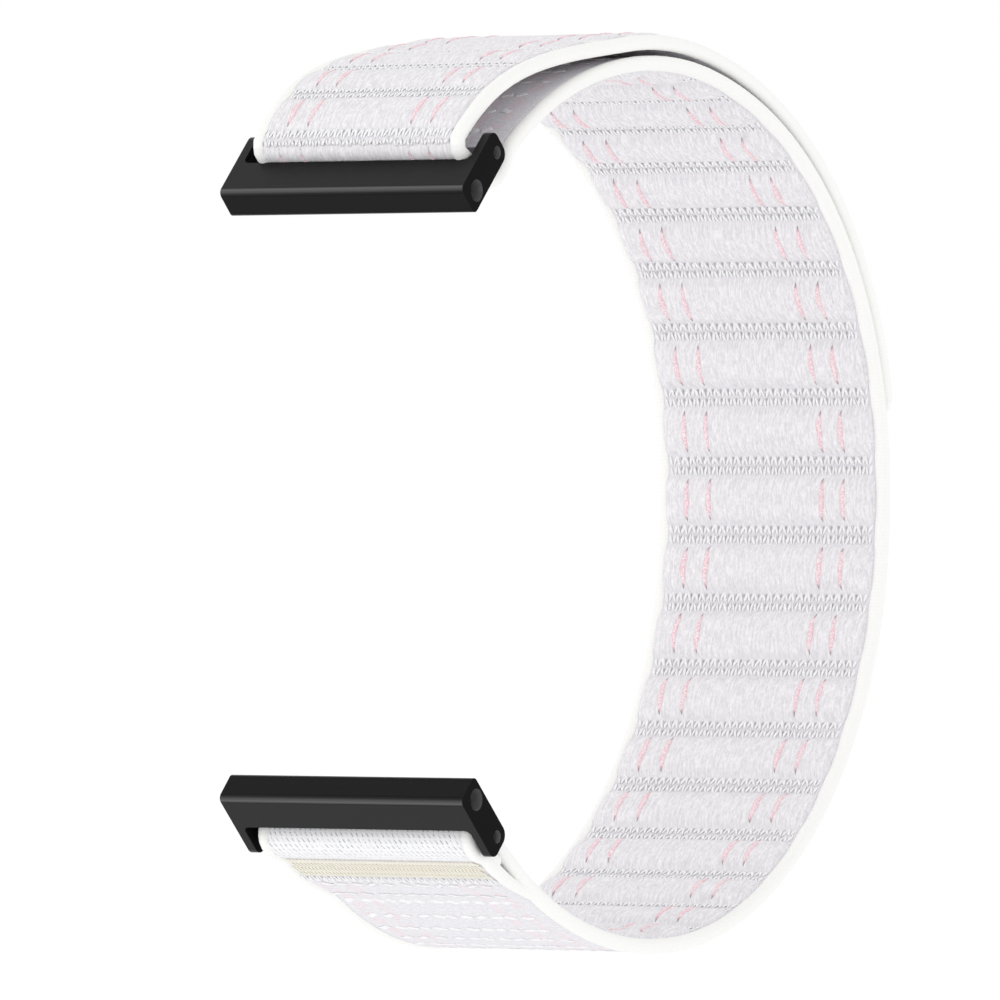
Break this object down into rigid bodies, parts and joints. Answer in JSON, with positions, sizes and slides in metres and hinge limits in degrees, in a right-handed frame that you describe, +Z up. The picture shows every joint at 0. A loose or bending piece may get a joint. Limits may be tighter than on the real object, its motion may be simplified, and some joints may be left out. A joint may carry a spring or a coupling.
{
  "type": "nylon watch strap",
  "caption": "Padded woven strap with hook-and-loop tail, folded through a black end bar and sewn round another, closed as a wrist loop.",
  "frame": {"origin": "middle of the closed loop, on the wrist's axis and midway across the strap", "axes": "+X along the end bars, -Y towards the watch, +Z up through the upper end bar's side of the loop"},
  "size_m": [0.022, 0.0662, 0.0717],
  "materials": {
    "webbing": "woven, matt",
    "selvedge": "tubular knit edge, soft sheen",
    "seam_thread": "dense cream stitching",
    "hook_tape": "fine moulded hooks",
    "bar_black": "satin black coating",
    "pin_metal": "darkened steel"
  },
  "bodies": {
    "wrist_section": {"upper_band": "webbing", "upper_band_left_edge": "selvedge", "upper_band_right_edge": "selvedge", "upper_fold": "webbing"},
    "back_section": {"back_band": "webbing", "back_band_left_edge": "selvedge", "back_band_right_edge": "selvedge"},
    "lower_section": {"lower_band": "webbing", "lower_band_left_edge": "selvedge", "lower_band_right_edge": "selvedge"},
    "front_section": {"front_band": "webbing", "front_band_left_edge": "selvedge", "front_band_right_edge": "selvedge", "lower_fold": "webbing", "flap_seam": "seam_thread"},
    "upper_bar": {"upper_end_bar": "bar_black", "upper_strap_pin": "pin_metal"},
    "lower_bar": {"lower_end_bar": "bar_black", "lower_strap_pin": "pin_metal"},
    "tail_base_section": {"tail_base": "webbing", "tail_base_left_edge": "selvedge", "tail_base_right_edge": "selvedge"},
    "tail_middle_section": {"tail_middle": "webbing", "tail_middle_left_edge": "selvedge", "tail_middle_right_edge": "selvedge"},
    "tail_tip_section": {"tail_tip": "webbing", "tail_tip_left_edge": "selvedge", "tail_tip_right_edge": "selvedge", "hook_patch": "hook_tape", "tail_end_seal": "selvedge"}
  },
  "joints": [
    {"name": "upper_bar_pivot", "type": "hinge", "parent": "wrist_section", "child": "upper_bar", "pos_m": [0, -0.02538, 0.02681], "axis": [1, 0, 0], "range_deg": [-6, 38]},
    {"name": "back_flex", "type": "hinge", "parent": "wrist_section", "child": "back_section", "pos_m": [0, 0.03432, -0.00244], "axis": [1, 0, 0], "range_deg": [-18, 30]},
    {"name": "lower_flex", "type": "hinge", "parent": "back_section", "child": "lower_section", "pos_m": [0, 0.02578, -0.02277], "axis": [1, 0, 0], "range_deg": [-18, 30]},
    {"name": "front_flex", "type": "hinge", "parent": "lower_section", "child": "front_section", "pos_m": [0, 0.00667, -0.03375], "axis": [1, 0, 0], "range_deg": [-18, 30]},
    {"name": "lower_bar_pivot", "type": "hinge", "parent": "front_section", "child": "lower_bar", "pos_m": [0, -0.02538, -0.02525], "axis": [1, 0, 0], "range_deg": [-60, 60]},
    {"name": "tail_open", "type": "hinge", "parent": "wrist_section", "child": "tail_base_section", "pos_m": [0, -0.02843, 0.02786], "axis": [1, 0, 0], "range_deg": [0, 60]},
    {"name": "tail_flex", "type": "hinge", "parent": "tail_base_section", "child": "tail_middle_section", "pos_m": [0, -0.00219, 0.03595], "axis": [1, 0, 0], "range_deg": [0, 35]},
    {"name": "tip_peel", "type": "hinge", "parent": "tail_middle_section", "child": "tail_tip_section", "pos_m": [0, 0.02393, 0.02757], "axis": [1, 0, 0], "range_deg": [0, 60]}
  ]
}
